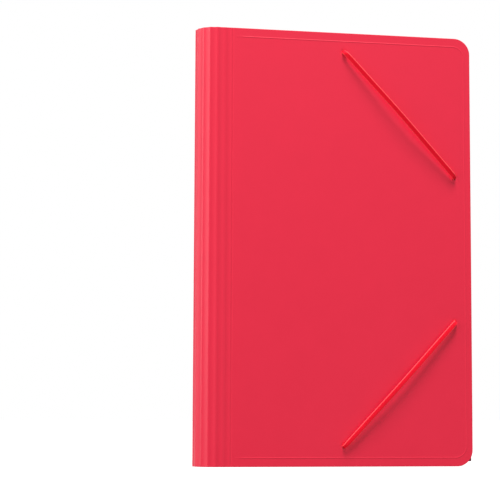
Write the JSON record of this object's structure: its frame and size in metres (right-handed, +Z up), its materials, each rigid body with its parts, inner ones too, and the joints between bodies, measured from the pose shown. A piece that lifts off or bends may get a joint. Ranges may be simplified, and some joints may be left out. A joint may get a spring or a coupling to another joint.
{
  "type": "accordion file organizer",
  "caption": "Upright expanding file: creased plastic cover with rounded spine, pleated pocket bellows and two diagonal corner elastics.",
  "frame": {"origin": "on the standing surface, under the middle of the bounding box", "axes": "+Z up along the long side as the file stands on its short end; -X towards the spine, +X towards the pocket mouths; -Y out of the front cover, which carries the elastics"},
  "size_m": [0.2396, 0.0404, 0.37],
  "materials": {
    "cover": "satin polypropylene sheet",
    "film": "satin polypropylene film",
    "elastic": "woven flat elastic",
    "bar": "plated steel"
  },
  "bodies": {
    "file_body": {"back_cover": "cover", "pocket_wall_01": "film", "pocket_wall_02": "film", "pocket_wall_03": "film", "pocket_wall_04": "film", "pocket_wall_05": "film", "pocket_wall_06": "film", "pocket_wall_07": "film", "pocket_wall_08": "film", "pocket_wall_09": "film", "pocket_wall_10": "film", "pocket_wall_11": "film", "pocket_wall_12": "film", "pocket_wall_13": "film", "pocket_wall_14": "film", "gusset_top": "film", "gusset_bottom": "film", "gusset_spine": "film"},
    "front_flap": {"front_cover": "cover", "elastic_upper": "elastic", "elastic_upper_bar_end": "bar", "elastic_upper_bar_side": "bar", "elastic_lower": "elastic", "elastic_lower_bar_end": "bar", "elastic_lower_bar_side": "bar"}
  },
  "joints": [
    {"name": "front_cover_hinge", "type": "hinge", "parent": "file_body", "child": "front_flap", "pos_m": [-0.09021, -0.01312, 0.185], "axis": [0, 0, -1], "range_deg": [0, 170]}
  ]
}
